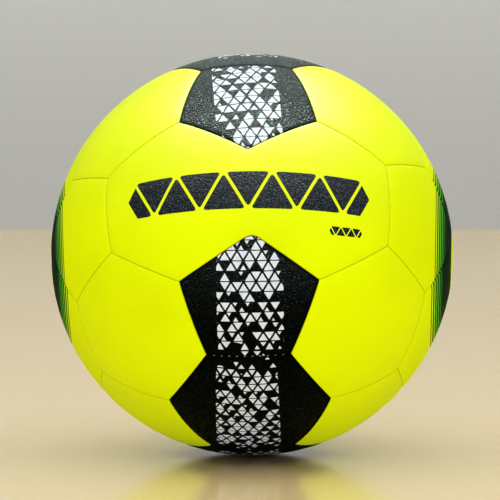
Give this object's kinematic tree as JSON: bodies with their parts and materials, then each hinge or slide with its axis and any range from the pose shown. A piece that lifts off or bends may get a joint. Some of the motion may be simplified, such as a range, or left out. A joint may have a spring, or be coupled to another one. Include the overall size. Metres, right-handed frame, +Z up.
{
  "type": "soccer ball",
  "caption": "Stitched soccer ball with double panels, single hexagons and pentagons over cloth linings and an air bladder, with a pull-out needle valve.",
  "frame": {"origin": "centre of the ball", "axes": "+Z up as the ball stands, +Y from the front of the ball to its back, +X to the right seen from the front"},
  "size_m": [0.22, 0.22, 0.22],
  "materials": {
    "cover_yellow": "satin synthetic leather with a fine pebble grain, neon yellow, printed",
    "cover_black": "satin synthetic leather with a fine pebble grain, black, with a white print",
    "lining_cloth": "matt woven polyester and cotton",
    "bladder_rubber": "matt butyl rubber",
    "valve_rubber": "satin moulded rubber",
    "thread": "waxed polyester cord"
  },
  "bodies": {
    "ball": {"balance_patch": "bladder_rubber", "base_pentagon_left": "cover_yellow", "base_pentagon_right": "cover_yellow", "bladder": "bladder_rubber", "crown_pentagon_left": "cover_yellow", "crown_pentagon_right": "cover_yellow", "double_panel_back": "cover_yellow", "double_panel_bottom": "cover_black", "double_panel_front": "cover_yellow", "double_panel_left": "cover_yellow", "double_panel_right": "cover_yellow", "double_panel_top": "cover_black", "hexagon_back_lower_left": "cover_yellow", "hexagon_back_lower_right": "cover_yellow", "hexagon_back_upper_left": "cover_yellow", "hexagon_back_upper_right": "cover_yellow", "hexagon_front_lower_left": "cover_yellow", "hexagon_front_lower_right": "cover_yellow", "hexagon_front_upper_left": "cover_yellow", "hexagon_front_upper_right": "cover_yellow", "lining_base_pentagon_left": "lining_cloth", "lining_base_pentagon_right": "lining_cloth", "lining_crown_pentagon_left": "lining_cloth", "lining_crown_pentagon_right": "lining_cloth", "lining_double_panel_back": "lining_cloth", "lining_double_panel_bottom": "lining_cloth", "lining_double_panel_front": "lining_cloth", "lining_double_panel_left": "lining_cloth", "lining_double_panel_right": "lining_cloth", "lining_double_panel_top": "lining_cloth", "lining_hexagon_back_lower_left": "lining_cloth", "lining_hexagon_back_lower_right": "lining_cloth", "lining_hexagon_back_upper_left": "lining_cloth", "lining_hexagon_back_upper_right": "lining_cloth", "lining_hexagon_front_lower_left": "lining_cloth", "lining_hexagon_front_lower_right": "lining_cloth", "lining_hexagon_front_upper_left": "lining_cloth", "lining_hexagon_front_upper_right": "lining_cloth", "lining_side_pentagon_left_back": "lining_cloth", "lining_side_pentagon_left_front": "lining_cloth", "lining_side_pentagon_right_back": "lining_cloth", "lining_side_pentagon_right_front": "lining_cloth", "lining_stripe_pentagon_back_lower": "lining_cloth", "lining_stripe_pentagon_back_upper": "lining_cloth", "lining_stripe_pentagon_front_lower": "lining_cloth", "lining_stripe_pentagon_front_upper": "lining_cloth", "seam_thread": "thread", "side_pentagon_left_back": "cover_yellow", "side_pentagon_left_front": "cover_yellow", "side_pentagon_right_back": "cover_yellow", "side_pentagon_right_front": "cover_yellow", "stripe_pentagon_back_lower": "cover_black", "stripe_pentagon_back_upper": "cover_black", "stripe_pentagon_front_lower": "cover_black", "stripe_pentagon_front_upper": "cover_black", "valve_boss": "valve_rubber", "valve_patch": "lining_cloth"},
    "plug": {"valve_plug": "valve_rubber"}
  },
  "joints": [
    {"name": "plug_pull", "type": "slide", "parent": "ball", "child": "plug", "axis": [-0.5705, 0.7539, 0.3258], "range_m": [0, 0.014]}
  ]
}
